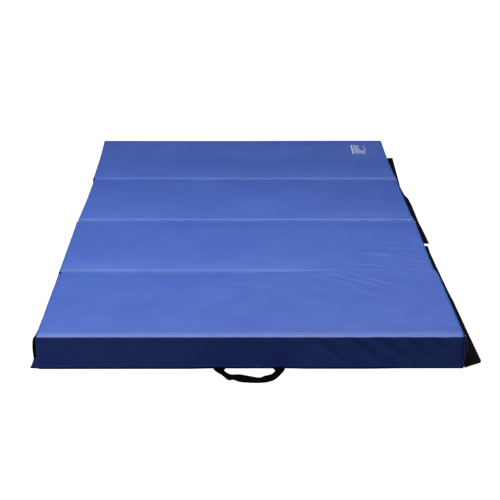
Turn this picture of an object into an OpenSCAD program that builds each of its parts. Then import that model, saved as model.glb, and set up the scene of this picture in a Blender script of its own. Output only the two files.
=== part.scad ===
// Four-panel folding gym mat. It lies flat on the floor, with panel 1 at the +Y end and
// panel 4 at the -Y end. Neighbouring panels are joined by fabric hinges along X: at the
// bottom between panels 1 and 2 and between panels 3 and 4, and at the top between panels
// 2 and 3, so that the mat folds up like an accordion.

/* [Panels] */
// Width of the mat, along its folds
mat_w = 1220; // [600:10:1800]
// Length of one panel, from fold to fold
panel_l = 610; // [400:10:900]
// Thickness of the mat
mat_t = 102; // [60:1:150]
// Gap between the walls of neighbouring panels
fold_gap = 6; // [4:0.5:12]
// Radius of a panel's upright corners
corner_r = 10; // [4:1:30]

/* [Cover and foam] */
// Thickness of the coated fabric
cover_t = 1; // [0.6:0.1:1.5]
// Reach of a hinge strip on each side of its fold
leaf_w = 40; // [20:1:80]
// Share of the filling that is the firm lower foam
firm_share = 0.5; // [0.3:0.05:0.7]

/* [Side flaps] */
// Reach of a side flap beyond the wall
flap_w = 54; // [30:1:100]
// Thickness of a flap's woven backing
flap_t = 1.4; // [0.8:0.1:2.5]
// Thickness of the hook tape under a flap
hook_t = 1.6; // [0.8:0.1:2.5]
// Gap in the row of flaps at the middle fold
notch_w = 32; // [10:1:80]
// Reach of the slanted cut at the free end of flap 4
mitre = 46; // [0:1:50]
// Height of the loop tape on the other long side
loop_w = 68; // [25:1:76]
// Height of the loop tape's lower edge above the floor
loop_z = 22; // [5:1:30]
// Thickness of the loop tape
loop_t = 2; // [1:0.1:3]

/* [Handles] */
// Width of a handle along the edge of the mat
handle_w = 206; // [140:1:300]
// Reach of a handle beyond the wall
handle_reach = 110; // [60:1:140]
// Offset of the handles from the middle of the mat
handle_shift = -6; // [-40:1:40]
// Width of the webbing
strap_w = 38; // [20:1:50]
// Thickness of the webbing
strap_t = 2.5; // [1.5:0.1:4]
// Length of a reinforcing patch under each end of a handle
patch_l = 60; // [30:1:90]
// Thickness of a reinforcing patch
patch_t = 1.2; // [0.6:0.1:2]

/* [Care label] */
// Width of the label
label_w = 60; // [40:1:150]
// Length of the label
label_l = 132; // [60:1:300]
// Distance from the label to the free end of panel 1
label_end = 80; // [20:1:200]
// Distance from the label to the flap side of the mat
label_side = 90; // [20:1:300]
// Thickness of the label
label_t = 0.3; // [0.1:0.1:0.4]

/* [Hidden] */
$fn = 48;
PANELS = [1 : 4];
FOLDS = [1 : 3];
ENDS = ["far", "near"];

clear = 0.3;                    // gap between pieces that move against each other
leaf_clear = clear / 2;         // from a hinge strip's edge to the fold line
flap_thick = flap_t + hook_t;
flap_reach = clear + flap_w;
mat_x = (loop_t - flap_reach) / 2;      // puts the middle of the whole outline at X = 0
end_y = 2 * panel_l - fold_gap / 2;     // the outer wall of panels 1 and 4
core_z = cover_t;
core_t = mat_t - 2 * cover_t;
firm_t = core_t * firm_share;
strap_in = (handle_w - strap_w) / 2;    // from a handle's middle to its strap's centre line
arch_steps = 6;
patch_gap = 2;                  // from a patch to the inside of the wall

// The middle of panel n
function panel_y(n) = (2.5 - n) * panel_l;
// The line of fold f, between panels f and f + 1
function fold_y(f) = (2 - f) * panel_l;
// Only the middle fold is hinged at the top
function on_top(f) = f == 2;
// 1 for the +Y end of the mat, -1 for the other
function end_side(e) = e == "far" ? 1 : -1;
// The centre line of a handle's webbing
function arch(a) = [strap_in * cos(a), -(handle_reach - strap_w / 2) * sin(a)];

module rounded(w, l, r) {
    square([w - 2 * r, l], center = true);
    square([w, l - 2 * r], center = true);
    for (x = [-1, 1], y = [-1, 1])
        translate([x * (w / 2 - r), y * (l / 2 - r)]) circle(r);
}

module panel_outline(inset = 0) {
    rounded(mat_w - 2 * inset, panel_l - fold_gap - 2 * inset, corner_r - inset);
}

module at_panel(n, z = 0) {
    translate([mat_x, panel_y(n), z]) children();
}

// The hinge strip of fold f on its far (1) or near (-1) side
module leaf(f, side) {
    z = on_top(f) ? mat_t - cover_t : 0;
    y = fold_y(f) + side * (leaf_w + leaf_clear) / 2;
    translate([mat_x, y, z])
        linear_extrude(cover_t)
            square([mat_w - 2 * corner_r, leaf_w - leaf_clear], center = true);
}

module panel_sheet(n, z) {
    difference() {
        at_panel(n, z) linear_extrude(cover_t) panel_outline();
        for (f = FOLDS, side = [-1, 1]) leaf(f, side);
    }
}

module top_sheet(n) {
    color("royalblue") panel_sheet(n, mat_t - cover_t);
}

module bottom_sheet(n) {
    color("mediumblue") panel_sheet(n, 0);
}

module side_band(n) {
    color("midnightblue")
        at_panel(n, core_z)
            linear_extrude(core_t)
                difference() {
                    panel_outline();
                    panel_outline(cover_t);
                }
}

module foam(n, z, t) {
    at_panel(n, z) linear_extrude(t) panel_outline(cover_t);
}

module soft_foam(n) {
    color("whitesmoke") foam(n, core_z + firm_t, core_t - firm_t);
}

module firm_foam(n) {
    color("gainsboro")
        difference() {
            foam(n, core_z, firm_t);
            for (e = ENDS) patches(e);
        }
}

// The stretch of panel n's flap along Y, as [low, high]
function flap_span(n) = [
    n == 4 ? -end_y : n == 2 ? notch_w / 2 : fold_y(n) + leaf_clear,
    n == 1 ? end_y : n == 3 ? -notch_w / 2 : fold_y(n - 1) - leaf_clear
];

module flap_outline(n, reach) {
    span = flap_span(n);
    cut = n == 4 ? mitre : 0;
    translate([mat_x + mat_w / 2 + clear, 0])
        polygon([
            [0, span[0]],
            [reach, span[0] + cut * reach / flap_w],
            [reach, span[1]],
            [0, span[1]]
        ]);
}

module side_flap(n) {
    color("black") translate([0, 0, hook_t]) linear_extrude(flap_t) flap_outline(n, flap_w);
}

module hook_tape(n) {
    color("dimgray") linear_extrude(hook_t) flap_outline(n, flap_w);
}

module loop_tape(n) {
    color("black")
        translate([mat_x - mat_w / 2 - loop_t, panel_y(n), loop_z])
            translate([0, corner_r - panel_l / 2, 0])
                cube([loop_t, panel_l - 2 * corner_r, loop_w]);
}

// Places its children, drawn for the near end, at end e
module at_end(e) {
    mirror([0, end_side(e) > 0 ? 1 : 0, 0])
        translate([mat_x + handle_shift, -end_y, 0])
            children();
}

module handle(e) {
    color("black")
        at_end(e)
            translate([0, -clear, 0])
                linear_extrude(strap_t)
                    intersection() {
                        for (i = [0 : arch_steps - 1])
                            hull() {
                                translate(arch(180 * i / arch_steps)) circle(d = strap_w);
                                translate(arch(180 * (i + 1) / arch_steps)) circle(d = strap_w);
                            }
                        translate([-handle_w, -2 * handle_reach])
                            square([2 * handle_w, 2 * handle_reach]);
                    }
}

module patches(e) {
    at_end(e)
        for (side = [-1, 1])
            translate([side * strap_in - strap_w / 2, cover_t + patch_gap, core_z])
                cube([strap_w, patch_l, patch_t]);
}

module handle_patch(e) {
    color("black") patches(e);
}

module care_label() {
    color("white")
        translate([
            mat_x + mat_w / 2 - label_side - label_w,
            end_y - label_end - label_l,
            mat_t
        ])
            cube([label_w, label_l, label_t]);
}

for (n = PANELS) {
    top_sheet(n);
    bottom_sheet(n);
    side_band(n);
    soft_foam(n);
    firm_foam(n);
    side_flap(n);
    hook_tape(n);
    loop_tape(n);
}
for (f = FOLDS) {
    color("blue") leaf(f, 1);
    color("blue") leaf(f, -1);
}
for (e = ENDS) {
    handle(e);
    handle_patch(e);
}
care_label();
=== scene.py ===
"""A folding gym mat of four vinyl-covered foam panels, laid out flat.

Panel 1 is the far one (+Y) and panel 4 the near one (-Y). Lengths in the tables of this
script are in millimetres, and the meshes are in metres, as the frame is.
"""

import math

import bpy
import numpy as np
from mathutils import Matrix, Vector


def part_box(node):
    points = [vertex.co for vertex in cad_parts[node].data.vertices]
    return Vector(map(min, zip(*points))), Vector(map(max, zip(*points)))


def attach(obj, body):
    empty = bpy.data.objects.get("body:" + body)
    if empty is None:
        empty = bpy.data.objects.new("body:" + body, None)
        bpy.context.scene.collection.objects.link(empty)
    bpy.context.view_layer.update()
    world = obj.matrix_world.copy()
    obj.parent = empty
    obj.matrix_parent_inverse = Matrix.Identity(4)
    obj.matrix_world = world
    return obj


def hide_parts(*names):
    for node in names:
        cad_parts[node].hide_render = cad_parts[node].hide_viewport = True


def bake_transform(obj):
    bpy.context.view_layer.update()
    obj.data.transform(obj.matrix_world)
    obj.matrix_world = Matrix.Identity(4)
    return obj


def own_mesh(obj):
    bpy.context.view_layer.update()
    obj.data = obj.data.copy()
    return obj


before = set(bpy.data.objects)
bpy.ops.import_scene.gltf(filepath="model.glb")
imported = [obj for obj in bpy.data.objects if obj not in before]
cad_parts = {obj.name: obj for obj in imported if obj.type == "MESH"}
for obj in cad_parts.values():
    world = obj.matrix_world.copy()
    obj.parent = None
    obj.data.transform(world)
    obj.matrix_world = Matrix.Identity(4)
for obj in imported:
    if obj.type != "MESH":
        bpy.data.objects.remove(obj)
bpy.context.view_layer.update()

MM = 0.001
PANELS = (1, 2, 3, 4)


# ---------------------------------------------------------------- sizes from the frame

def box_mm(node):
    """Lowest and highest corner of a CAD node, in millimetres."""
    low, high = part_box(node)
    return np.array(low) / MM, np.array(high) / MM


def panel_box(n):
    """The whole block of panel n: its walls in plan, its sheets in height."""
    low, high = box_mm(f"side_band_{n}")
    low[2] = box_mm(f"bottom_sheet_{n}")[0][2]
    high[2] = box_mm(f"top_sheet_{n}")[1][2]
    return low, high


FAR_BOX, NEAR_BOX = panel_box(1), panel_box(4)
LEFT, RIGHT = NEAR_BOX[0][0], NEAR_BOX[1][0]
MID_X = (LEFT + RIGHT) / 2
NEAR_Y, FAR_Y = NEAR_BOX[0][1], FAR_BOX[1][1]
TOP = NEAR_BOX[1][2]
PITCH = panel_box(1)[0][1] - panel_box(2)[0][1]
FOLD_GAP = panel_box(1)[0][1] - panel_box(2)[1][1]
FOLD_Y = {1: PITCH, 2: 0.0, 3: -PITCH}
FLAP_TOP = box_mm("side_flap_1")[1][2]
FLAP_T = FLAP_TOP - box_mm("side_flap_1")[0][2]
FLAP_ROOT = box_mm("side_flap_1")[0][0]

# Cushions
EDGE_R = 7.0            # radius of a panel's edges in plan
TOP_R = 8.0             # height of the rounding at the top
SEAM_R = 2.5            # radius of the rounding at the bottom seam
ARC_STEPS = 5           # mesh steps in half of a rounding
CUSHION_STEP = 6.5      # mesh step over a cushion
FOAM_STEP = 24.0        # mesh step over a foam block
BASE_Z = 0.2            # underside of a cushion, above the hinge strips
PINCH = 1.0             # how far an outer wall pulls in at its top and bottom seams
EDGE_DROP = 0.5         # how far a top falls towards its edges
EDGE_DROP_LENGTH = 26.0
FOLD_DROP = 8.0         # how much further it falls towards a fold, where the foam is worn down
FOLD_DROP_LENGTH = 85.0
FOLD_LIP = {1: 2.0, 2: 2.5, 3: 4.0}     # how much more again at a panel's near edge
FOLD_LIP_LENGTH = 7.0
# Towards the flaps fold 3 is flush. FLUSH_GAIN is the share of FOLD_DROP that its two panels
# lack there, and FOLD_CLOSE is how far they lean over the gap.
FLUSH_GAIN = {3: 0.7, 4: 1.25}
FLUSH_X = (MID_X - 60, MID_X + 330)
FOLD_CLOSE = 2.4
CLOSE_X = (MID_X + 60, MID_X + 330)
CLOSE_Z = (40, TOP - 15)
CLOSE_REACH = 40.0
NEAR_DROP = 5.0         # how far the top of panel 4 falls at the mat's near edge
NEAR_DROP_LENGTH = 8.0
FOOT_LEAN = 3.5         # how far the foot of the near wall presses out beside the handle
FOOT_BESIDE = (108, 170)                    # it starts and is full this far from the handle
FOOT_FADE_X = (MID_X + 430, MID_X + 330)    # there is none past the first, and all before the last
CORNER_BULGE = 4.0      # how far panel 4's left wall bulges at its near corner
CORNER_BULGE_LENGTH = 45.0
CORNER_TUCK = 3.5       # how far panel 4's right wall is drawn in at its near corner
CORNER_TUCK_LENGTH = 16.0


# ------------------------------------------------------------------------ mesh helpers

def new_object(name, points_mm, faces, material=None, smooth=True):
    """A mesh object from points in millimetres."""
    mesh = bpy.data.meshes.new(name)
    mesh.from_pydata((np.asarray(points_mm) * MM).tolist(), [], [list(f) for f in faces])
    mesh.update()
    if smooth:
        mesh.polygons.foreach_set("use_smooth", [True] * len(mesh.polygons))
    obj = bpy.data.objects.new(name, mesh)
    bpy.context.scene.collection.objects.link(obj)
    if material is not None:
        mesh.materials.append(material)
    return obj


def point_value(obj, name, values):
    """Stores one number for each vertex, for a material to read."""
    layer = obj.data.attributes.new(name, "FLOAT", "POINT")
    layer.data.foreach_set("value", np.asarray(values, np.float32))


def point_vector(obj, name, values):
    """Stores a vector for each vertex, for a material to read."""
    layer = obj.data.attributes.new(name, "FLOAT_VECTOR", "POINT")
    layer.data.foreach_set("vector", np.asarray(values, np.float32).ravel())


def smoothstep(x, low=0.0, high=1.0):
    t = np.clip((np.asarray(x, float) - low) / (high - low), 0, 1)
    return t * t * (3 - 2 * t)


def ticks(low, high, r_low, r_high, step):
    """Mesh lines along one side of a block, close together where it is rounded."""
    tangents = np.tan(np.radians(np.linspace(45, 0, ARC_STEPS + 1)))
    count = max(2, round((high - low - r_low - r_high) / step))
    middle = np.linspace(low + r_low, high - r_high, count + 1)[1:-1]
    return np.concatenate([
        low + r_low * (1 - tangents),
        middle,
        high - r_high * (1 - tangents[::-1]),
    ])


def lattice_faces(index):
    """Outward quads over the surface of a block of numbered lattice points."""
    quads = []
    for axis in range(3):
        for end in (0, -1):
            sheet = index.take(end, axis=axis)
            quad = np.stack([sheet[:-1, :-1], sheet[1:, :-1], sheet[1:, 1:], sheet[:-1, 1:]], -1)
            if (axis == 1) == (end == -1):
                quad = quad[..., ::-1]
            quads.append(quad.reshape(-1, 4))
    return np.concatenate(quads)


def rounded_block(low, high, edge, top, bottom, step):
    """Points and quads of a closed block with rounded edges, and how near each point is to
    an edge, from 0 to 1."""
    low, high = np.array(low, float), np.array(high, float)
    lines = [
        ticks(low[0], high[0], edge, edge, step),
        ticks(low[1], high[1], edge, edge, step),
        ticks(low[2], high[2], bottom, top, step),
    ]
    shape = tuple(len(line) for line in lines)
    outer = np.zeros(shape, bool)
    for axis in range(3):
        for end in (0, -1):
            np.moveaxis(outer, axis, 0)[end] = True
    index = np.full(shape, -1)
    index[outer] = np.arange(outer.sum())
    grid = np.stack(np.meshgrid(*lines, indexing="ij"), -1)[outer]
    core = np.clip(grid, low + [edge, edge, bottom], high - [edge, edge, top])
    radius = np.full(grid.shape, float(edge))
    radius[:, 2] = np.where(grid[:, 2] > (low[2] + high[2]) / 2, top, bottom)
    away = (grid - core) / radius
    length = np.linalg.norm(away, axis=1, keepdims=True)
    away /= np.maximum(length, 1e-9)
    nearness = np.sort(np.abs(away), axis=1)[:, 1] / math.sqrt(0.5)
    points = core + away * radius
    sideways = np.linalg.norm(away[:, :2], axis=1, keepdims=True)
    lower = (away[:, 2:] < 0) & (sideways > 1e-6)
    tight = away[:, :2] / np.maximum(sideways, 1e-6) * (edge - bottom * (1 - sideways))
    points[:, :2] = np.where(lower, core[:, :2] + tight, points[:, :2])
    return points, lattice_faces(index), nearness


def sheet_faces(rows, columns):
    """Quads of a closed thin sheet whose upper and lower grids are numbered in turn."""
    upper = np.arange(rows * columns).reshape(rows, columns)
    lower = upper + rows * columns
    top = np.stack([upper[:-1, :-1], upper[1:, :-1], upper[1:, 1:], upper[:-1, 1:]], -1)
    under = np.stack([lower[:-1, :-1], lower[:-1, 1:], lower[1:, 1:], lower[1:, :-1]], -1)
    faces = [top.reshape(-1, 4), under.reshape(-1, 4)]
    rim = np.concatenate([upper[0, :], upper[1:, -1], upper[-1, -2::-1], upper[-2:0:-1, 0]])
    after = np.roll(rim, -1)
    below = rows * columns
    faces.append(np.stack([rim, after, after + below, rim + below], -1))
    return np.concatenate(faces)


def unit(vectors):
    return vectors / np.maximum(np.linalg.norm(vectors, axis=-1, keepdims=True), 1e-9)


def sheet_object(name, grid, thickness, material, share=0.5):
    """A closed sheet of cloth. grid is a (rows, columns, 3) array of points in millimetres,
    and share says how much of the thickness lies above it. Rows run along the cloth, and the
    upper side is the one that rows x columns points to."""
    grid = np.asarray(grid, float)
    rows, columns = grid.shape[:2]
    normal = unit(np.cross(np.gradient(grid, axis=0), np.gradient(grid, axis=1)))
    thick = np.broadcast_to(np.asarray(thickness, float), (rows, columns))[..., None]
    points = np.concatenate([
        (grid + normal * thick * share).reshape(-1, 3),
        (grid - normal * thick * (1 - share)).reshape(-1, 3),
    ])
    obj = new_object(name, points, sheet_faces(rows, columns), material)
    obj.data.set_sharp_from_angle(angle=math.radians(50))
    along = np.cumsum(np.linalg.norm(np.diff(grid, axis=0, prepend=grid[:1]), axis=2), axis=0)
    across = np.cumsum(np.linalg.norm(np.diff(grid, axis=1, prepend=grid[:, :1]), axis=2), axis=1)
    place = np.stack([across, along, np.zeros_like(along)], -1).reshape(-1, 3) * MM
    point_vector(obj, "cloth", np.concatenate([place, place]))
    return obj


def stitches(name, lines, material, length=3.4, gap=1.6, radius=0.35, sides=6):
    """Rows of thread stitches as one object. Each line is a list of points and the normal
    that the stitches stand up along."""
    points, faces = [], []
    profile = np.array([0.25, 0.85, 1.0, 0.85, 0.25])
    turns = np.linspace(0, 2 * math.pi, sides, endpoint=False)
    for line, normal in lines:
        line, normal = np.asarray(line, float), np.asarray(normal, float)
        steps = np.linalg.norm(np.diff(line, axis=0), axis=1)
        reached = np.concatenate([[0], np.cumsum(steps)])
        count = int(reached[-1] // (length + gap))
        for k in range(count):
            start = k * (length + gap) + gap / 2
            ends = [
                np.array([np.interp(s, reached, line[:, a]) for a in range(3)])
                for s in (start, start + length)
            ]
            along = unit(ends[1] - ends[0])
            up = unit(normal - along * (normal @ along))
            side = np.cross(along, up)
            first = len(points)
            for i, width in enumerate(profile):
                share = i / (len(profile) - 1)
                centre = ends[0] + (ends[1] - ends[0]) * share + up * radius * 0.6 * width
                for t in turns:
                    ring = side * math.cos(t) + up * math.sin(t)
                    points.append(centre + ring * radius * width)
            for i in range(len(profile) - 1):
                for j in range(sides):
                    a, b = first + i * sides + j, first + i * sides + (j + 1) % sides
                    faces.append([a, b, b + sides, a + sides])
            last = first + (len(profile) - 1) * sides
            faces.append([first + j for j in reversed(range(sides))])
            faces.append([last + j for j in range(sides)])
    return new_object(name, points, faces, material)


def upright_tube(name, centres, radii, sides, material):
    """A closed round tube along a line that goes up."""
    turns = np.linspace(0, 2 * math.pi, sides, endpoint=False)
    ring = np.stack([np.cos(turns), np.sin(turns), np.zeros(sides)], -1)
    points = centres[:, None] + ring * np.reshape(radii, (-1, 1, 1))
    starts = range(0, (len(centres) - 1) * sides, sides)
    faces = [[i + j, i + (j + 1) % sides, i + sides + (j + 1) % sides, i + sides + j]
             for i in starts for j in range(sides)]
    faces.append(list(reversed(range(sides))))
    faces.append([starts.stop + j for j in range(sides)])
    return new_object(name, points.reshape(-1, 3), faces, material)


def curve_through(stations, count):
    """A smooth line through a few stations, as Catmull-Rom stretches."""
    s = np.asarray(stations, float)
    s = np.concatenate([[2 * s[0] - s[1]], s, [2 * s[-1] - s[-2]]])
    spans = len(s) - 3
    out = []
    for u in np.linspace(0, spans, count):
        i = min(int(u), spans - 1)
        t = u - i
        a, b, c, d = s[i:i + 4]
        out.append(0.5 * (2 * b + (c - a) * t + (2 * a - 5 * b + 4 * c - d) * t ** 2
                          + (3 * b - a - 3 * c + d) * t ** 3))
    return np.array(out)


# --------------------------------------------------------------------------- materials

class Nodes:
    """Short forms for building one material's node tree."""

    def __init__(self, name):
        self.material = bpy.data.materials.new(name)
        self.material.use_nodes = True
        self.tree = self.material.node_tree
        self.shader = self.tree.nodes["Principled BSDF"]

    def add(self, kind, **settings):
        node = self.tree.nodes.new(kind)
        for key, value in settings.items():
            setattr(node, key, value)
        return node

    def link(self, output, target):
        self.tree.links.new(output, target)

    def value(self, socket, value):
        if hasattr(value, "is_linked"):
            self.link(value, socket)
        elif socket.type == "RGBA":
            socket.default_value = (*value, 1.0)
        else:
            socket.default_value = value

    def scaled(self, source, scale, stretch):
        mapping = self.add("ShaderNodeMapping")
        mapping.inputs["Scale"].default_value = [scale * s for s in stretch]
        self.link(source, mapping.inputs["Vector"])
        return mapping.outputs["Vector"]

    def place(self, scale=1.0, stretch=(1, 1, 1)):
        """The object's own coordinates in metres, scaled."""
        source = self.add("ShaderNodeTexCoord").outputs["Object"]
        return self.scaled(source, scale, stretch)

    def cloth_place(self, scale=1.0, stretch=(1, 1, 1)):
        """The flat cloth's coordinates in metres, scaled."""
        source = self.add("ShaderNodeAttribute", attribute_name="cloth").outputs["Vector"]
        return self.scaled(source, scale, stretch)

    def noise(self, place, scale=1.0, detail=3.0, rough=0.5):
        node = self.add("ShaderNodeTexNoise")
        node.inputs["Scale"].default_value = scale
        node.inputs["Detail"].default_value = detail
        node.inputs["Roughness"].default_value = rough
        self.link(place, node.inputs["Vector"])
        return node.outputs["Fac"]

    def cells(self, place, scale=1.0):
        node = self.add("ShaderNodeTexVoronoi", feature="F1")
        node.inputs["Scale"].default_value = scale
        self.link(place, node.inputs["Vector"])
        return node.outputs["Distance"]

    def bands(self, place, direction="X"):
        node = self.add("ShaderNodeTexWave", bands_direction=direction, wave_profile="SIN")
        node.inputs["Scale"].default_value = 1.0
        self.link(place, node.inputs["Vector"])
        return node.outputs["Fac"]

    def math(self, operation, a, b=0.0):
        node = self.add("ShaderNodeMath", operation=operation)
        for socket, value in zip(node.inputs, (a, b)):
            self.value(socket, value)
        return node.outputs["Value"]

    def spread(self, value, low, high, to_low=0.0, to_high=1.0):
        node = self.add("ShaderNodeMapRange")
        for key, v in (("Value", value), ("From Min", low), ("From Max", high),
                       ("To Min", to_low), ("To Max", to_high)):
            self.value(node.inputs[key], v)
        return node.outputs["Result"]

    def mix(self, share, a, b):
        node = self.add("ShaderNodeMix", data_type="RGBA")
        self.value(node.inputs["Factor"], share)
        for key, value in (("A", a), ("B", b)):
            self.value([s for s in node.inputs if s.name == key and s.type == "RGBA"][0], value)
        return [s for s in node.outputs if s.type == "RGBA"][0]

    def point(self, name):
        return self.add("ShaderNodeAttribute", attribute_name=name).outputs["Fac"]

    def bump(self, heights):
        """Chains bumps, each (height, strength, distance in millimetres)."""
        previous = None
        for height, strength, distance in heights:
            node = self.add("ShaderNodeBump")
            node.inputs["Strength"].default_value = strength
            node.inputs["Distance"].default_value = distance * MM
            self.link(height, node.inputs["Height"])
            if previous is not None:
                self.link(previous, node.inputs["Normal"])
            previous = node.outputs["Normal"]
        self.link(previous, self.shader.inputs["Normal"])

    def finish(self, color, roughness, **settings):
        self.value(self.shader.inputs["Base Color"], color)
        self.value(self.shader.inputs["Roughness"], roughness)
        for key, value in settings.items():
            self.shader.inputs[key].default_value = value
        return self.material


# Linear colours
VINYL_BLUE = (0.053, 0.122, 0.480)
VINYL_DEEP = (0.044, 0.104, 0.450)
VINYL_WORN = (0.085, 0.160, 0.520)
FOAM_WHITE = (0.62, 0.60, 0.54)
FOAM_GREY = (0.26, 0.28, 0.30)
BLACK_CLOTH = (0.001, 0.001, 0.0015)
BLACK_LIGHT = (0.002, 0.002, 0.003)
PRINT_WHITE = (0.80, 0.84, 0.90)
THREAD_BLUE = (0.020, 0.050, 0.260)
# Pale lavender of the corner tab's rolled edge: painted highlight for blue vinyl that catches the
# light
PAINTED_HIGHLIGHT_LAVENDER = (0.26, 0.21, 0.62)


def vinyl_nodes(name):
    """The grain, mottling and scuffs that all the blue vinyl shares."""
    m = Nodes(name)
    place = m.place()
    cloud = m.noise(place, 5.0, 3.0, 0.55)
    mottle = m.noise(place, 42.0, 4.0, 0.6)
    color = m.mix(m.spread(cloud, 0.35, 0.65), VINYL_DEEP, VINYL_BLUE)
    color = m.mix(m.spread(mottle, 0.40, 0.75, 0.0, 0.10), color, VINYL_WORN)
    rub = m.math("MULTIPLY", m.spread(m.point("edge"), 0.55, 1.0),
                 m.spread(m.noise(place, 70.0, 5.0, 0.7), 0.45, 0.70))
    color = m.mix(m.math("MULTIPLY", rub, 0.45), color, VINYL_WORN)
    rough = m.spread(m.noise(place, 16.0, 4.0, 0.6), 0.3, 0.7, 0.29, 0.36)
    rough = m.math("ADD", rough, m.math("MULTIPLY", rub, 0.10))
    grain = m.cells(place, 850.0)
    pores = m.noise(place, 1900.0, 2.0, 0.5)
    ripple = m.noise(place, 60.0, 2.0, 0.5)
    m.bump([(ripple, 0.30, 0.5), (grain, 0.16, 0.16), (pores, 0.10, 0.10)])
    return m, color, rough


def vinyl_material():
    m, color, rough = vinyl_nodes("cover_vinyl")
    return m.finish(color, rough, **{"Specular IOR Level": 0.42, "Coat Weight": 0.05,
                                     "Coat Roughness": 0.3})


RULE_PITCH = 7.0       # between the printed rules of the label, in millimetres
# Stretches of the label's print along X and Y, from its near left corner
BAR = ((1, 6), (2, 130))
LEFT_RULES = ((9, 36), (3, 128))
LOW_RULES = ((36, 59), (2, 52))
EDGE_RULE = ((56, 58.5), (52, 118))
RULE_INK = 0.7          # how strongly the rules are printed beside the bar


def label_material():
    """Vinyl with a printed bar and plain rules beside it, which aren't lettering."""
    m, vinyl, rough = vinyl_nodes("label_print")
    across = m.add("ShaderNodeSeparateXYZ")
    m.link(m.cloth_place(1000.0), across.inputs["Vector"])
    x, y = across.outputs["X"], across.outputs["Y"]

    def inside(value, low, high):
        return m.math("MULTIPLY", m.math("GREATER_THAN", value, low),
                      m.math("LESS_THAN", value, high))

    def block(across_span, along_span):
        return m.math("MULTIPLY", inside(x, *across_span), inside(y, *along_span))

    rules = m.math("LESS_THAN", m.math("FRACT", m.math("DIVIDE", y, RULE_PITCH)), 0.5)
    ruled = m.math("MAXIMUM", block(*LEFT_RULES), block(*LOW_RULES))
    rules = m.math("MAXIMUM", m.math("MULTIPLY", rules, ruled), block(*EDGE_RULE))
    ink = m.math("MAXIMUM", block(*BAR), m.math("MULTIPLY", rules, RULE_INK))
    worn = m.spread(m.noise(m.place(), 260.0, 3.0, 0.6), 0.2, 0.6, 0.72, 1.0)
    return m.finish(m.mix(m.math("MULTIPLY", ink, worn), vinyl, PRINT_WHITE), rough,
                    **{"Specular IOR Level": 0.5})


def foam_material(name, color, pore):
    m = Nodes(name)
    place = m.place()
    holes = m.cells(place, pore)
    cloud = m.noise(place, 12.0, 4.0, 0.6)
    dark = tuple(c * 0.72 for c in color)
    # The pits of the cells are mixed darker: painted shade in the pores.
    shade = m.mix(m.spread(holes, 0.1, 0.5), dark, color)
    shade = m.mix(m.spread(cloud, 0.35, 0.75, 0.0, 0.25), shade, dark)
    m.bump([(cloud, 0.3, 2.0), (holes, 0.7, 1.2)])
    return m.finish(shade, m.spread(cloud, 0.0, 1.0, 0.88, 0.98), **{"Specular IOR Level": 0.2})


def woven_material():
    """Tightly woven black polyester, with both directions of yarn."""
    m = Nodes("woven_backing")
    place = m.cloth_place(1.0, (520, 520, 520))
    warp, weft = m.bands(place, "X"), m.bands(place, "Y")
    weave = m.math("MAXIMUM", warp, weft)
    lint = m.noise(m.cloth_place(240.0), 1.0, 5.0, 0.7)
    color = m.mix(m.spread(weave, 0.3, 1.0, 0.0, 0.7), BLACK_CLOTH, BLACK_LIGHT)
    color = m.mix(m.spread(lint, 0.62, 0.80, 0.0, 0.25), color, (0.022, 0.022, 0.025))
    m.bump([(weave, 0.5, 0.25), (lint, 0.2, 0.3)])
    return m.finish(color, m.spread(lint, 0.3, 0.7, 0.78, 0.92),
                    **{"Sheen Weight": 0.02, "Sheen Roughness": 0.5, "Specular IOR Level": 0.06})


def pile_material(name, pitch, fuzz):
    """Hook or loop tape: rows of stiff hooks or a tangled pile on a knitted ground."""
    m = Nodes(name)
    tufts = m.cells(m.cloth_place(1.0, (pitch, pitch * 0.8, pitch)), 1.0)
    tangle = m.noise(m.cloth_place(1600.0), 1.0, 5.0, 0.75)
    lint = m.noise(m.cloth_place(90.0), 1.0, 4.0, 0.7)
    color = m.mix(m.spread(tufts, 0.1, 0.6), BLACK_LIGHT, BLACK_CLOTH)
    color = m.mix(m.spread(lint, 0.60, 0.80, 0.0, 0.25), color, (0.020, 0.020, 0.023))
    m.bump([(tufts, 0.8, 0.7), (tangle, fuzz, 0.6)])
    return m.finish(color, m.spread(tangle, 0.3, 0.7, 0.80, 0.96),
                    **{"Sheen Weight": 0.03, "Sheen Roughness": 0.6, "Specular IOR Level": 0.05})


def webbing_material():
    """Black polypropylene webbing with ribs along it and a twill across the ribs."""
    m = Nodes("webbing")
    ribs = m.bands(m.cloth_place(1.0, (82, 1, 1)), "X")
    twill = m.bands(m.cloth_place(1.0, (260, 330, 1)), "DIAGONAL")
    lint = m.noise(m.cloth_place(180.0), 1.0, 5.0, 0.7)
    color = m.mix(m.math("MULTIPLY", ribs, 0.6), BLACK_CLOTH, BLACK_LIGHT)
    color = m.mix(m.spread(lint, 0.62, 0.82, 0.0, 0.25), color, (0.020, 0.020, 0.023))
    m.bump([(ribs, 0.6, 0.5), (twill, 0.5, 0.25)])
    return m.finish(color, m.spread(twill, 0.0, 1.0, 0.55, 0.75),
                    **{"Specular IOR Level": 0.015})


def thread_material(name, color):
    m = Nodes(name)
    twist = m.bands(m.place(1.0, (900, 900, 900)), "DIAGONAL")
    pale = tuple(min(1.0, c * 1.8 + 0.01) for c in color)
    m.bump([(twist, 0.4, 0.15)])
    return m.finish(m.mix(m.math("MULTIPLY", twist, 0.5), color, pale),
                    m.spread(twist, 0.0, 1.0, 0.5, 0.7), **{"Specular IOR Level": 0.4})


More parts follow.
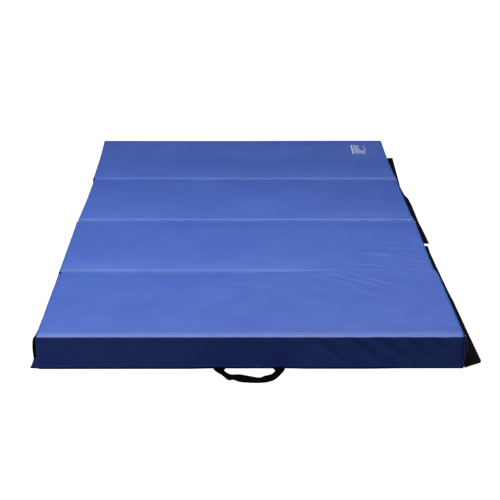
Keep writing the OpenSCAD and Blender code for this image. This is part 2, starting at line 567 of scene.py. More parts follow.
VINYL = vinyl_material()
LABEL = label_material()
SOFT_FOAM = foam_material("soft_foam", FOAM_WHITE, 420.0)
FIRM_FOAM = foam_material("firm_foam", FOAM_GREY, 260.0)
WOVEN = woven_material()
HOOKS = pile_material("hook_tape", 900.0, 0.2)
LOOPS = pile_material("loop_tape", 480.0, 0.8)
WEBBING = webbing_material()
BLUE_THREAD = thread_material("thread_blue", THREAD_BLUE)
BLACK_THREAD = thread_material("thread_black", BLACK_LIGHT)
# The corner tab's pale rolled edge: painted highlight
PAINTED_HIGHLIGHT_PIPING = thread_material("piping_painted_highlight", PAINTED_HIGHLIGHT_LAVENDER)


def vinyl_sheet(name, grid, thickness, material=VINYL):
    """A closed sheet of vinyl without worn edges."""
    obj = sheet_object(name, grid, thickness, material)
    point_value(obj, "edge", np.zeros(len(obj.data.vertices)))
    return obj


# ---------------------------------------------------------------------------- cushions

# Creases in the top sheets, from one point to another (X from the middle of the mat, Y),
# then depth and half width. A crease is a groove with a soft lip along one side.
TOP_CREASES = {
    3: [
        (395, -290, 560, -335, 0.41, 9),
        (430, -365, 595, -395, 0.58, 10),
        (370, -430, 520, -490, 0.66, 11),
        (440, -500, 600, -530, 0.49, 9),
        (330, -548, 470, -585, 0.49, 9),
    ],
    4: [
        (165, -655, 300, -760, 0.62, 11),
        (235, -650, 410, -800, 0.74, 12),
        (320, -660, 470, -800, 0.62, 11),
        (150, -760, 290, -880, 0.41, 11),
        (300, -800, 430, -950, 0.46, 13),
        (-110, -740, 60, -800, 0.38, 12),
        (20, -770, 120, -850, 0.38, 12),
        (500, -1060, 590, -1150, 0.38, 12),
    ],
}
# Creases in the near wall of panel 4: X and Z to X and Z, depth and half width
WALL_CREASES = [
    (90, 84, 172, 20, 1.5, 10),
    (170, 92, 268, 12, 2.7, 11),
    (270, 94, 372, 12, 3.6, 12),
    (352, 95, 452, 14, 3.9, 12),
    (430, 94, 520, 18, 3.0, 11),
    (505, 90, 575, 34, 2.1, 10),
]
END_RISE = 11.5         # how far panel 1's free end stands up at its left corner
CORNER_RISE = 13.5      # and at its corner on the flap side
CORNER_RISE_X = (MID_X - 200, MID_X + 500)      # where it goes from the one to the other
END_RISE_Y = 300.0      # how far the rise reaches along Y
SIDE_PULL = {           # how far the top edges pull in, from each panel's near to its far end
    (1, "left"): (6, 2, 0.5, -3, -5), (1, "right"): (3, 5, 5.5, 5, 4),
    (2, "left"): (0, 1.5, 6, 7, 9), (2, "right"): (2, 6, 6.5, 5.5, 1),
    (3, "left"): (-1, -1.5, -1.5, -1.5, 0), (3, "right"): (6, 8, 5.5, 3, 0),
    (4, "left"): (0, -1.9, -2.0, -0.8, 5), (4, "right"): (0, 0.8, 0.5, 0.5, 4),
}
PULL_PLACES = (0, 0.1, 0.5, 0.9, 1)     # the shares of a panel's length that those are for
SIDE_PULL_REACH = 60.0                  # how far from a wall its top follows
SIDE_PULL_Z = (10, TOP - 15)            # the heights where the pull starts and is full
SWELL = 0.7             # depth of the gentle unevenness of a top
FINE_SWELL = 0.25       # depth of its smaller waves
SWELL_INSET = 60.0      # both fade out this far from the top's edges
TOP_INSET = 0.25        # from the top sheet's plane to the top between its creases
WALL_SWELL = 0.24       # depth of an outer wall's unevenness


def crease(a, b, x0, a0, x1, b1, depth, width):
    """Depth of a crease at points (a, b): a groove along a line, with a lip beside it."""
    line = np.array([x1 - x0, b1 - a0], float)
    length = np.linalg.norm(line)
    line /= length
    s = ((a - x0) * line[0] + (b - a0) * line[1]) / length
    d = (-(a - x0) * line[1] + (b - a0) * line[0]) / width
    bow = 0.5 * np.sin(np.clip(s, 0, 1) * math.pi)
    d = d - bow
    fade = smoothstep(s, -0.15, 0.3) * smoothstep(s, 1.15, 0.7)
    return depth * fade * (np.exp(-d ** 2) - 0.55 * np.exp(-(d - 1.9) ** 2))


def swell(a, b, length, seed):
    """Smooth unevenness between about -1 and 1, with waves near the given length."""
    rng = np.random.RandomState(seed)
    total = np.zeros_like(a)
    for _ in range(6):
        angle, phase = rng.uniform(0, 2 * math.pi, 2)
        wave = length * rng.uniform(0.6, 1.6)
        total += np.sin((a * math.cos(angle) + b * math.sin(angle)) * 2 * math.pi / wave + phase)
    return total / 4


def top_relief(n, x, y):
    """How far the top of panel n lies above or below the plane of its sheet."""
    low, high = panel_box(n)
    wall = np.minimum.reduce([x - low[0], high[0] - x, y - low[1], high[1] - y])
    inner = smoothstep(wall, 0, SWELL_INSET)
    from_near, from_far = np.maximum(y - low[1], 0), np.maximum(high[1] - y, 0)
    flush = smoothstep(x, *FLUSH_X)
    drop = -EDGE_DROP * np.exp(-np.maximum(wall, 0) / EDGE_DROP_LENGTH)
    if n < 4:
        fall = FOLD_DROP * (1 - FLUSH_GAIN[3] * flush * (n == 3))
        drop = drop - fall * np.exp(-from_near / FOLD_DROP_LENGTH)
        lip = FOLD_LIP[n] * (1 - flush * (n == 3))
        drop = drop - lip * np.exp(-from_near / FOLD_LIP_LENGTH)
    if n > 1:
        fall = FOLD_DROP * (1 - FLUSH_GAIN[4] * flush * (n == 4))
        drop = drop - fall * np.exp(-from_far / FOLD_DROP_LENGTH)
    if n == 4:
        drop = drop - NEAR_DROP * np.exp(-from_near / NEAR_DROP_LENGTH)
    uneven = SWELL * (swell(x, y, 320, 40 + n) - 1) * 0.5 * inner
    fine = FINE_SWELL * (swell(x, y, 85, 60 + n) - 1) * 0.5 * inner
    total = drop + uneven + fine - TOP_INSET
    for x0, y0, x1, y1, depth, width in TOP_CREASES.get(n, []):
        total = total - crease(x - MID_X, y, x0, y0, x1, y1, depth, width)
    if n == 1:
        along = smoothstep(x, *CORNER_RISE_X)
        back = smoothstep(y, high[1] - END_RISE_Y, high[1])
        total = total + (END_RISE + (CORNER_RISE - END_RISE) * along) * back
    return total


def side_pull(n, side, y, z):
    """How far a long side of panel n leans in at its top, fading out towards the floor."""
    low, high = panel_box(n)
    share = (y - low[1]) / (high[1] - low[1])
    return np.interp(share, PULL_PLACES, SIDE_PULL[n, side]) * smoothstep(z, *SIDE_PULL_Z)


def foot_lean(x, z):
    """How far the near wall lies outside its seams beside the handle, most at the floor."""
    beside = smoothstep(np.abs(x - HANDLE_X), *FOOT_BESIDE)
    fade = smoothstep(x, *FOOT_FADE_X)
    return FOOT_LEAN * beside * fade * (1 - np.clip(z / TOP, 0, 1)) ** 1.5


def wall_relief(a, z, seed, creases=()):
    """How far an outer wall lies outside its seams: 0 at the seams, most in the middle."""
    share = np.clip(z / TOP, 0, 1)
    belly = np.sin(math.pi * share) ** 0.7
    total = (PINCH - 0.2) * belly + WALL_SWELL * swell(a, z * 2, 190, seed) * belly
    for x0, z0, x1, z1, depth, width in creases:
        total = total - crease(a, z, x0, z0, x1, z1, depth, width) * belly
    return np.minimum(total, PINCH)


def press_flat(obj):
    """A piece of panel 1, whose end stands up. It gets its own copy of its mesh."""
    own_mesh(obj)


# Each wall's side, axis, direction and seed
WALLS = (("left", 0, -1, 11), ("right", 0, 1, 12), ("near", 1, -1, 13), ("far", 1, 1, 14))


def belly_walls(n, points, start, end, x, y, z):
    """Swells the walls of panel n that are outer walls of the mat."""
    for side, axis, sign, seed in WALLS:
        if side == "near" and n != 4 or side == "far" and n != 1:
            continue
        wall = (start if sign < 0 else end)[axis]
        weight = smoothstep(np.abs(points[:, axis] - wall), EDGE_R, 0)
        along = y if axis == 0 else x - MID_X
        if side == "near":
            relief = wall_relief(along, z, seed + n, WALL_CREASES) + foot_lean(x, z)
        else:
            relief = wall_relief(along, z, seed + n)
        points[:, axis] += sign * weight * relief


def pull_sides(n, points, start, end, y, z):
    """Leans the long walls of panel n, and shapes panel 4's two near corners."""
    from_near = y - start[1]
    for side, wall, sign in (("left", start[0], 1), ("right", end[0], -1)):
        near_wall = smoothstep(np.abs(points[:, 0] - wall), SIDE_PULL_REACH, 0)
        points[:, 0] += sign * side_pull(n, side, y, z) * near_wall
        if (n, side) == (4, "left"):
            belly = np.sin(math.pi * np.clip(z / TOP, 0, 1)) ** 0.3
            reach = np.exp(-from_near / CORNER_BULGE_LENGTH)
            points[:, 0] -= CORNER_BULGE * belly * reach * near_wall
        if (n, side) == (4, "right"):
            reach = np.exp(-from_near / CORNER_TUCK_LENGTH)
            points[:, 0] -= CORNER_TUCK * smoothstep(z, 10, 30) * reach * near_wall


def close_fold(n, points, start, end, x, y, z):
    """Leans the wall of panel 3 or 4 over the gap at fold 3, on the flap side."""
    wall, sign = (start[1], -1) if n == 3 else (end[1], 1)
    close = smoothstep(np.abs(y - wall), CLOSE_REACH, 0) * smoothstep(z, *CLOSE_Z)
    points[:, 1] += sign * FOLD_CLOSE * close * smoothstep(x, *CLOSE_X)


def cushion(n):
    """The vinyl cover of panel n: a closed, softly rounded case."""
    low, high = panel_box(n)
    start = np.array([low[0] + PINCH, low[1] + PINCH * (n == 4), BASE_Z])
    end = np.array([high[0] - PINCH, high[1] - PINCH * (n == 1), high[2]])
    points, faces, nearness = rounded_block(start, end, EDGE_R, TOP_R, SEAM_R, CUSHION_STEP)
    x, y, z = points.T.copy()
    points[:, 2] += smoothstep(z, high[2] - TOP_R, high[2]) * top_relief(n, x, y)
    belly_walls(n, points, start, end, x, y, z)
    pull_sides(n, points, start, end, y, z)
    if n in (3, 4):
        close_fold(n, points, start, end, x, y, z)
    obj = new_object(f"cover_{n}", points, faces, VINYL)
    point_value(obj, "edge", nearness)
    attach(obj, f"panel_{n}")
    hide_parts(f"top_sheet_{n}", f"bottom_sheet_{n}", f"side_band_{n}")
    if n == 1:
        press_flat(obj)


FOAM_INSET = (9.0, 4.0)     # from a cover's wall sheets to its foam, along X and Y
FOAM_TOP_INSET = 6.5
FOAM_BASE_INSET = 3.0
FOAM_R = 9.0                # radius of the foam's upright edges and of the top
FOAM_SEAM_R = 3.0           # and of its other edges


def foam_block(n, kind, material):
    """A foam block of panel n, a little smaller than the cover's inside. The soft one's top
    falls with the cover's."""
    node = f"{kind}_foam_{n}"
    low, high = box_mm(node)
    low[:2] += FOAM_INSET
    high[:2] -= FOAM_INSET
    if kind == "soft":
        high[2] -= FOAM_TOP_INSET
    else:
        low[2] += FOAM_BASE_INSET
    top_r = FOAM_R if kind == "soft" else FOAM_SEAM_R
    points, faces = rounded_block(low, high, FOAM_R, top_r, FOAM_SEAM_R, FOAM_STEP)[:2]
    if kind == "soft":
        relief = np.minimum(top_relief(n, points[:, 0], points[:, 1]), 0)
        points[:, 2] += smoothstep(points[:, 2], high[2] - 20, high[2] - 4) * relief
    obj = new_object(node.replace("foam", "foam_block"), points, faces, material)
    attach(obj, f"panel_{n}")
    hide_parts(node)
    if n == 1:
        press_flat(obj)


# ------------------------------------------------------------------------ hinge strips

STRIP_T = 0.8
STRIP_DIP = 4.5         # depth of a strip in the groove between two panels
STRIP_DIP_WIDTH = 5.0
STRIP_STEP = 12.0
STRIP_ROWS = (40, 34, 28, 20, 14, 11, 9, 7.5, 6, 5, 4, 3, 2, 1)


def strip_top(f, x, dy):
    """Height of the top strip of fold f, at dy from the fold: it follows both panels' tops
    and crosses the gap from one to the other."""
    edge = FOLD_GAP / 2 + EDGE_R
    side = np.where(dy < 0, -1, 1)
    held = FOLD_Y[f] + side * np.maximum(np.abs(dy), edge)
    top = np.where(side > 0, top_relief(f, x, held), top_relief(f + 1, x, held))
    mean = (top + top[::-1]) / 2
    return TOP + mean + (top - mean) * smoothstep(np.abs(dy), 0, edge)


def fold_strip(f):
    """The vinyl hinge across fold f: on top at the middle fold, underneath at the others."""
    low, high = box_mm(f"fold_{f}_leaf_far")
    reach = high[1] - FOLD_Y[f]
    rows = np.array(STRIP_ROWS) * reach / STRIP_ROWS[0]
    offsets = np.concatenate([rows, [0], -rows[::-1]])
    columns = np.linspace(low[0], high[0], round((RIGHT - LEFT) / STRIP_STEP))
    x, dy = np.meshgrid(columns, offsets, indexing="xy")
    tuck = smoothstep(np.abs(dy), reach * 0.7, reach)
    dip = STRIP_DIP * np.exp(-(dy / STRIP_DIP_WIDTH) ** 2)
    if f == 2:
        z = strip_top(f, x, dy) + 0.35 - 0.75 * tuck - dip
    else:
        z = 0.45 + 0.35 * tuck + 0.8 * dip
    grid = np.stack([x, FOLD_Y[f] + dy, z], -1)
    if f != 2:
        grid = grid[::-1]
    obj = vinyl_sheet(f"fold_strip_{f}", grid[:, ::-1], STRIP_T)
    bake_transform(obj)
    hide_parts(f"fold_{f}_leaf_far", f"fold_{f}_leaf_near")


# --------------------------------------------------------------------------- side flaps

# Outline of each side flap from its near to its far end: Y, reach from the wall, and how
# far the tip stands up
FLAP_STATIONS = {
    4: [(-1217, 57, 0), (-1160, 56, 0), (-900, 53, 0.3), (-610, 51, 0.5)],
    3: [(-610, 50, 0.4), (-508, 48, 0.2), (-260, 45, 0.5), (-100, 44, 0.4), (-16, 46, 0.3)],
    2: [(16, 55, 0.3), (160, 54, 0.5), (299, 51, 0.5), (550, 53, 0.4), (610, 51, 0.4)],
    1: [(610, 52, 0.5), (660, 49, 0.4), (700, 42, 0.4), (830, 38, 0.5), (966, 44, 2),
        (1098, 46, 12), (1217, 45, 33)],
}
MITRE = 42.0            # how far back the tip of flap 4 lies from its corner
FLAP_HEM = 6.0          # from a flap's edges to its hem stitches
HOOK_MARGIN = 7.0       # from a flap's edges to the hook tape
HOOK_CLEAR = 0.15       # from the hook tape to the floor
FLAP_STEP = 9.0
FLAP_COLUMNS = 13
TIP_ROUND = 4.05        # how much the mitred tip of flap 4 is rounded off
TIP_LENGTH = 14.0


def flap_points(n, along, across, margin=0.0):
    """Points of flap n's upper side. along runs from the near to the far end and across
    from the root to the tip, both from 0 to 1. margin draws the outline in."""
    s = np.array(FLAP_STATIONS[n], float)
    low, high = box_mm(f"side_flap_{n}")
    near_end, far_end = low[1] + margin, high[1] - margin
    v, u = np.meshgrid(along, across, indexing="ij")
    cut = MITRE * u ** 0.85 if n == 4 else np.zeros_like(u)
    start = near_end + cut
    y = start + (far_end - start) * v
    reach = np.interp(y, s[:, 0], s[:, 1]) - margin
    rounding = TIP_ROUND * smoothstep(y - start, TIP_LENGTH, 0) * (n == 4)
    reach = reach - rounding * u ** 3
    root = FLAP_ROOT + margin
    x = root + (reach - margin) * u
    lift = np.interp(y, s[:, 0], s[:, 2])
    out = (x - FLAP_ROOT) / np.maximum(reach, 1)
    z = FLAP_TOP + lift * smoothstep(out, 0, 0.6) + 0.25 * swell(y, x, 120, 90 + n) * out - 0.25 * out
    return np.stack([x, y, np.maximum(z, FLAP_TOP - 0.2)], -1)


def flatten_when_lifted(obj):
    """A wavy piece that lies on the floor. It gets its own copy of its mesh."""
    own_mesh(obj)


def side_flap(n):
    """The black closing flap along panel n: woven backing, hook tape under it and hems."""
    low, high = box_mm(f"side_flap_{n}")
    width, length = (high - low)[:2]
    along = np.linspace(0, 1, round(length / FLAP_STEP))
    across = np.linspace(0, 1, FLAP_COLUMNS)
    ends = np.array([0.0, 1.0])
    grid = flap_points(n, along, across)
    backing = sheet_object(f"flap_{n}_backing", grid[:, ::-1], FLAP_T, WOVEN, share=0.0)
    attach(backing, f"flap_{n}")
    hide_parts(f"side_flap_{n}")
    hooks = flap_points(n, along, across, HOOK_MARGIN)
    hooks[..., 2] -= FLAP_T
    hook_t = FLAP_TOP - FLAP_T - HOOK_CLEAR
    tape = sheet_object(f"flap_{n}_hook_tape", hooks[:, ::-1], hook_t, HOOKS, share=0.0)
    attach(tape, f"flap_{n}")
    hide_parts(f"hook_tape_{n}")
    long_hems = flap_points(n, along, ends, FLAP_HEM)
    short_hems = flap_points(n, ends, across, FLAP_HEM)
    lines = [long_hems[:, 0], long_hems[:, 1], short_hems[0], short_hems[1]]
    thread = stitches(f"flap_{n}_stitches", [(line, (0, 0, 1)) for line in lines], BLACK_THREAD)
    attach(thread, f"flap_{n}")
    for piece in (backing, tape, thread):
        flatten_when_lifted(piece)


# The seam of a flap from its inner to its outer edge: X from the wall, and height
SEAM_PROFILE = ((-8, 0.9), (-5, 1.2), (-2.5, 1.8), (-0.6, 2.2))
SEAM_T = 1.2


def flap_seam(n):
    """The folded edge of the bottom sheet that a flap is sewn to, tucked under the wall."""
    low, high = box_mm(f"side_flap_{n}")
    y = np.linspace(max(low[1], NEAR_Y + 10), min(high[1], FAR_Y - 10), 60)
    grid = np.array([[(RIGHT + x, b, z) for x, z in SEAM_PROFILE] for b in y])
    obj = vinyl_sheet(f"flap_{n}_seam", grid[:, ::-1], SEAM_T)
    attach(obj, f"panel_{n}")


# ---------------------------------------------------------------------------- loop tape

# How far each loop tape bulges off the wall at its near and far ends
TAPE_ENDS = {1: (1.0, 0.5), 2: (0.5, 1.5), 3: (1.0, 0.5), 4: (10.0, 0.0)}
TAPE_END_LENGTH = 45.0
TAPE_OVERRUN = 6.0      # how far a tape runs on round a panel's far corner
TAPE_ROWS = 66          # mesh lines along a tape
TAPE_COLUMNS = 14       # and across it
TAPE_STITCHES = 2       # which column from each edge is sewn


def loop_tape(n):
    """The black loop tape on the wall opposite the flaps."""
    low, high = box_mm(f"loop_tape_{n}")
    thick = high[0] - low[0]
    y = np.linspace(low[1], high[1] + TAPE_OVERRUN, TAPE_ROWS)
    z = np.linspace(low[2], high[2], TAPE_COLUMNS)
    b, c = np.meshgrid(y, z, indexing="ij")
    near, far = TAPE_ENDS[n]
    bulge = (near * np.exp(-(b - low[1]) / TAPE_END_LENGTH)
             + far * np.exp(-(high[1] - b) / TAPE_END_LENGTH))
    belly = np.sin(math.pi * (c - low[2]) / (high[2] - low[2])).clip(0) ** 0.6
    ripple = 0.3 * swell(b, c * 2, 70, 30 + n) - 0.3
    panel_low, panel_high = panel_box(n)
    inner = (panel_high[1] - panel_low[1]) * PULL_PLACES[1]
    pull = side_pull(n, "left", np.clip(b, panel_low[1] + inner, panel_high[1] - inner), c)
    x = high[0] - bulge * (0.7 + 0.3 * belly) + ripple + pull
    grid = np.stack([x, b, c], -1)
    pile = sheet_object(f"loop_tape_{n}_pile", grid[:, ::-1], thick, LOOPS)
    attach(pile, f"panel_{n}")
    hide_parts(f"loop_tape_{n}")
    face = grid - [thick / 2, 0, 0]
    lines = [(face[:, column], (-1, 0, 0)) for column in (TAPE_STITCHES, -1 - TAPE_STITCHES)]
    thread = stitches(f"loop_tape_{n}_stitches", lines, BLACK_THREAD)
    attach(thread, f"panel_{n}")


# ------------------------------------------------------------------------------ handles

HANDLE_X = (box_mm("handle_near")[0][0] + box_mm("handle_near")[1][0]) / 2
STRAP_W = 38.0
# Three lines along the webbing: its outer edge, a lengthwise crease, and its inner edge, which
# is folded back over the strap on both legs. X from the handle's middle, reach, height.
OUTER_EDGE = [
    (-103, 0, 0.2), (-99, 14, 0.2), (-90, 34, 1.0), (-76, 60, 2.4), (-60, 88, 0.4),
    (-45, 88, 0.8), (-27, 102, 0.2), (8, 109, 0.2), (38, 107.5, 0.2), (62, 95, 0.2),
    (77, 74, 0.4), (90, 46, 1.8), (99, 18, 0.6), (102, 0, 0.2),
]
STRAP_CREASE = [
    (-76, 0, 0.2), (-74, 14, 0.6), (-66, 32, 1.2), (-54, 50, 1.5), (-40, 62, 1.0),
    (-28, 70, 1.0), (-16, 76, 1.5), (11, 83, 2.0), (31, 81, 1.5), (47, 71, 1.0),
    (58, 55, 1.5), (69, 35, 1.5), (74, 14, 0.6), (76, 0, 0.2),
]
INNER_EDGE = [
    (-66, 0, 0.2), (-70, 14, 2.5), (-75, 36, 4.4), (-62, 58, 5.0), (-36, 56, 5.5),
    (-20, 58, 6.0), (-12, 64, 6.5), (12, 73, 4.5), (28, 76, 3.0), (42, 66, 5.0),
    (62, 58, 5.5), (79, 38, 4.6), (71, 14, 2.6), (66, 0, 0.2),
]
STRAP_STEPS = 120
STRAP_COLUMNS = 9       # over the wide part of the webbing
FOLD_COLUMNS = 5        # and over the part that folds back
STRAP_BODY_T = 2.0


def handle(end):
    """The webbing grip at one end of the mat. It lies on the floor a little crumpled."""
    low, high = box_mm(f"handle_{end}")
    side, wall = (1, low[1]) if end == "far" else (-1, high[1])
    outer, crease_line, inner = (curve_through(line, STRAP_STEPS)[:, None, :]
                                 for line in (OUTER_EDGE, STRAP_CREASE, INNER_EDGE))
    u = np.linspace(0, 1, STRAP_COLUMNS)[None, :, None]
    v = np.linspace(0, 1, FOLD_COLUMNS + 1)[None, 1:-1, None]
    grid = np.concatenate([inner * (1 - v) + crease_line * v,
                           crease_line * (1 - u) + outer * u], axis=1)
    ripple = (0.8 + 0.5 * np.sin(np.linspace(0, 9, STRAP_STEPS)))[:, None]
    grid[:, FOLD_COLUMNS - 1:, 2] += np.sin(math.pi * u[..., 0]) * ripple
    grid[..., 2] = np.maximum(grid[..., 2], 0.1) + STRAP_BODY_T / 2
    grid[..., 0] += HANDLE_X
    grid[..., 1] = wall + side * grid[..., 1]
    if side < 0:
        grid = grid[:, ::-1]
    obj = sheet_object(f"handle_{end}_webbing", grid, STRAP_BODY_T, WEBBING)
    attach(obj, f"grip_{end}")
    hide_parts(f"handle_{end}")
    flatten_when_lifted(obj)


PATCH_INSET = 10.0      # from the patch's CAD solid to its edge, at the wall
PATCH_SHORTER = 12.0    # than the CAD solid
PATCH_T = 1.2
BOX_INSET = 5.0         # from the patch's edges to the boxed stitching


def handle_patch(end):
    """The webbing's sewn ends inside the cover, two patches with boxed stitching."""
    low, high = box_mm(f"handle_patch_{end}")
    side, wall, body = (1, high[1], "panel_1") if end == "far" else (-1, low[1], "panel_4")
    length = high[1] - low[1] - PATCH_SHORTER
    lines = []
    for foot, x0 in (("left", low[0]), ("right", high[0] - STRAP_W)):
        x, y = np.meshgrid(np.linspace(x0, x0 + STRAP_W, 9),
                           wall - side * (PATCH_INSET + np.linspace(0, length, 13)), indexing="ij")
        grid = np.stack([x, y, low[2] + PATCH_T / 2 + 0.1 * swell(x, y, 30, 7)], -1)
        if side > 0:
            grid = grid[:, ::-1]
        patch = sheet_object(f"handle_patch_{end}_{foot}", grid, PATCH_T, WEBBING)
        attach(patch, body)
        if foot == "left":
            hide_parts(f"handle_patch_{end}")
        near = wall - side * (PATCH_INSET + BOX_INSET)
        far = wall - side * (PATCH_INSET + length - BOX_INSET)
        left, right = x0 + BOX_INSET, x0 + STRAP_W - BOX_INSET
        box = [np.array([a, b, low[2] + PATCH_T])
               for a, b in ((left, near), (right, near), (right, far), (left, far))]
        for i, j in ((0, 1), (1, 2), (2, 3), (3, 0), (0, 2), (1, 3)):
            lines.append(([box[i], box[j]], (0, 0, 1)))
    thread = stitches(f"handle_patch_{end}_stitches", lines, BLACK_THREAD)
    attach(thread, body)


# ------------------------------------------------------------------------------- trim

LABEL_T = 0.3
LABEL_RISE = 0.12       # from the top sheet to the middle of the label


def care_label():
    """The printed label, which lies on the top sheet of panel 1."""
    low, high = box_mm("care_label")
    width, length = (high - low)[:2]
    x, y = np.meshgrid(np.linspace(low[0], high[0], 40), np.linspace(low[1], high[1], 80),
                       indexing="xy")
    grid = np.stack([x, y, TOP + top_relief(1, x, y) + LABEL_RISE], -1)
    obj = vinyl_sheet("care_label_print", grid[:, ::-1], LABEL_T, LABEL)
    flip_place(obj, width)
    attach(obj, "panel_1")
    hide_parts("care_label")
    press_flat(obj)


def flip_place(obj, width_mm):
    """Turns the cloth coordinates round across the cloth, so that they start at its left."""
    layer = obj.data.attributes["cloth"]
    values = np.zeros(len(obj.data.vertices) * 3, np.float32)
    layer.data.foreach_get("vector", values)
    values[::3] = width_mm * MM - values[::3]
    layer.data.foreach_set("vector", values)


WELT_R = 1.7
WELT_OUT = 1.1          # from a corner's face to the middle of its welt, at the floor
WELT_BELLY = 0.8        # and how much more halfway up
WELT_CLEAR = 1.0        # how much less it is on the flap side, for a lifted flap
WELT_SIDES = 10


def corner_welts():
    """The sewn seam allowance that stands out at each upright corner of the mat."""
    heights = np.linspace(5, TOP - 9, 26)
    face = PINCH + EDGE_R * (1 - math.sqrt(0.5))
    inset = face - WELT_OUT - WELT_BELLY * np.sin(math.pi * heights / TOP)
    wave = 0.4 * np.sin(heights / 9.0)
    taper = np.sqrt(np.maximum(0.02, 1 - np.linspace(-1, 1, len(heights)) ** 8))
    for n, y, back in ((1, FAR_Y, -1), (4, NEAR_Y, 1)):
        for name, x, side, clear in (("left", LEFT, 1, 0), ("right", RIGHT, -1, WELT_CLEAR)):
            centres = np.stack([
                x + side * (inset + clear) + wave * 0.3,
                y + back * inset + wave * 0.2,
                heights,
            ], -1)
            obj = upright_tube(f"corner_welt_{n}_{name}", centres, WELT_R * taper, WELT_SIDES, VINYL)
            point_value(obj, "edge", np.ones(len(obj.data.vertices)))
            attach(obj, f"panel_{n}")


HEM_HEIGHTS = (0.5, 1.4, 2.4, 3.4, 4.4, 5.4, 6.2, 8.0, 9.2, 9.8)
SHADOW_BAND_ROWS = 4        # how many of the hem's lowest strips are black: painted contact shadow at the floor
HEM_OUT = 0.3           # from the wall's face to the middle of the hem
HEM_T = 0.9
SHADOW_BAND_T = 1.3
HEM_STITCH_Z = 7.4
HEM_STITCH_OUT = 0.7


def end_hems():
    """The turned hem along the bottom of the two end walls, with a black band under it at the floor,
    painted contact shadow, and a row of stitches."""
    x = np.linspace(LEFT + 5, RIGHT - 4, 150)
    a, z = np.meshgrid(x, HEM_HEIGHTS, indexing="ij")
    belly = (PINCH - 0.4) * np.sin(math.pi * z / TOP) ** 0.7
    foot = 1 - np.clip(z / SEAM_R, 0, 1)
    round_in = 0.5 * EDGE_R * (1 - np.sqrt(1 - foot ** 2))
    for n, end, y, out in ((1, "far", FAR_Y, 1), (4, "near", NEAR_Y, -1)):
        lean = foot_lean(a, z) if end == "near" else 0
        face = y + out * (belly - PINCH - round_in + lean)
        grid = np.stack([a, face + out * HEM_OUT, z], -1)
        shadow_rows, turned = grid[:, :SHADOW_BAND_ROWS + 1], grid[:, SHADOW_BAND_ROWS:]
        if out > 0:
            shadow_rows, turned = shadow_rows[:, ::-1], turned[:, ::-1]
        hem = vinyl_sheet(f"end_hem_{end}", turned, HEM_T)
        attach(hem, f"panel_{n}")
        # The black band at the foot of the wall is painted contact shadow.
        shadow_band = sheet_object(f"end_contact_shadow_{end}", shadow_rows, SHADOW_BAND_T, WOVEN)
        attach(shadow_band, f"panel_{n}")
        sewn = [np.interp(HEM_STITCH_Z, HEM_HEIGHTS, row) + out * HEM_STITCH_OUT for row in face]
        line = np.stack([x, sewn, np.full_like(x, HEM_STITCH_Z)], -1)
        thread = stitches(f"end_hem_{end}_stitches", [(line, (0, out, 0))], BLUE_THREAD)
        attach(thread, f"panel_{n}")


EAR_HEIGHT = 29.0
EAR_REACH = 15.0        # at its top
EAR_FLARE = 10.0        # how much further it reaches at its foot


def ear_place(up, out):
    """X and Y of the ear, from the wall (out = 0) to its edge (out = 1)."""
    reach = EAR_REACH + EAR_FLARE * (1 - up) ** 1.2
    return LEFT + PINCH + 4 - reach * out, NEAR_Y + 1 + 4 * out ** 1.5


def corner_ear():
    """A loose end of the bottom hem that sticks out at panel 4's corner, with a black tip at the
    floor: painted contact shadow.
    """
    up, out = np.meshgrid(np.linspace(0, 1, 11), np.linspace(0, 1, 9), indexing="ij")
    z = 0.8 + EAR_HEIGHT * up + 1.5 * np.sin(3 * out) * up
    ear = vinyl_sheet("corner_ear", np.stack([*ear_place(up, out), z], -1), 1.3)
    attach(ear, "panel_4")
    # The black tip at the floor is painted contact shadow.
    up, out = up * 0.2, 0.55 + 0.5 * out
    z = 1.0 + EAR_HEIGHT * up
    tip = sheet_object("corner_ear_painted_shadow", np.stack([*ear_place(up, out), z], -1), 1.9, WOVEN)
    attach(tip, "panel_4")


TAB_REACH = 6.0         # of the black tab, a painted shadow, beyond the wall
TAB_ROOT = 3.0          # from the wall to the tab's root inside
TAB_LOW = 24.0
TAB_HIGH = TOP - 3
TAB_T = 1.2
TAB_EDGE_R = 1.4
TAB_EDGE_SIDES = 8


def corner_shadow_tab():
    """A black tab that stands out of the seam at panel 4's corner beside the flap: painted shadow for
    the dark gap at that corner.
    Its rolled edge is pale: painted highlight."""
    up, out = np.meshgrid(np.linspace(0, 1, 25), np.linspace(0, 1, 7), indexing="ij")
    reach = TAB_REACH * np.minimum(1, 3.0 * (1 - up)) * smoothstep(up, -0.05, 0.5)
    x = RIGHT - PINCH - TAB_ROOT + (reach + TAB_ROOT) * out
    y = NEAR_Y + 6 + 1.5 * np.sin(math.pi * out)
    z = TAB_LOW + (TAB_HIGH - TAB_LOW) * up
    grid = np.stack([x, y, z], -1)
    # A black sheet at the corner: painted shadow for the dark gap there.
    tab = sheet_object("corner_shadow_tab", grid, TAB_T, WOVEN)
    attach(tab, "panel_4")
    # Its rolled edge is pale lavender: painted highlight.
    edge = upright_tube("corner_shadow_tab_highlight_edge", grid[:, -1], TAB_EDGE_R, TAB_EDGE_SIDES, PAINTED_HIGHLIGHT_PIPING)
    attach(edge, "panel_4")


# -------------------------------------------------------------------- stage and camera

PIT_INSET = 14.0        # from the mat's walls to the floor's recess
PIT_DEPTH = 140.0
FLOOR_HALF = 30000.0


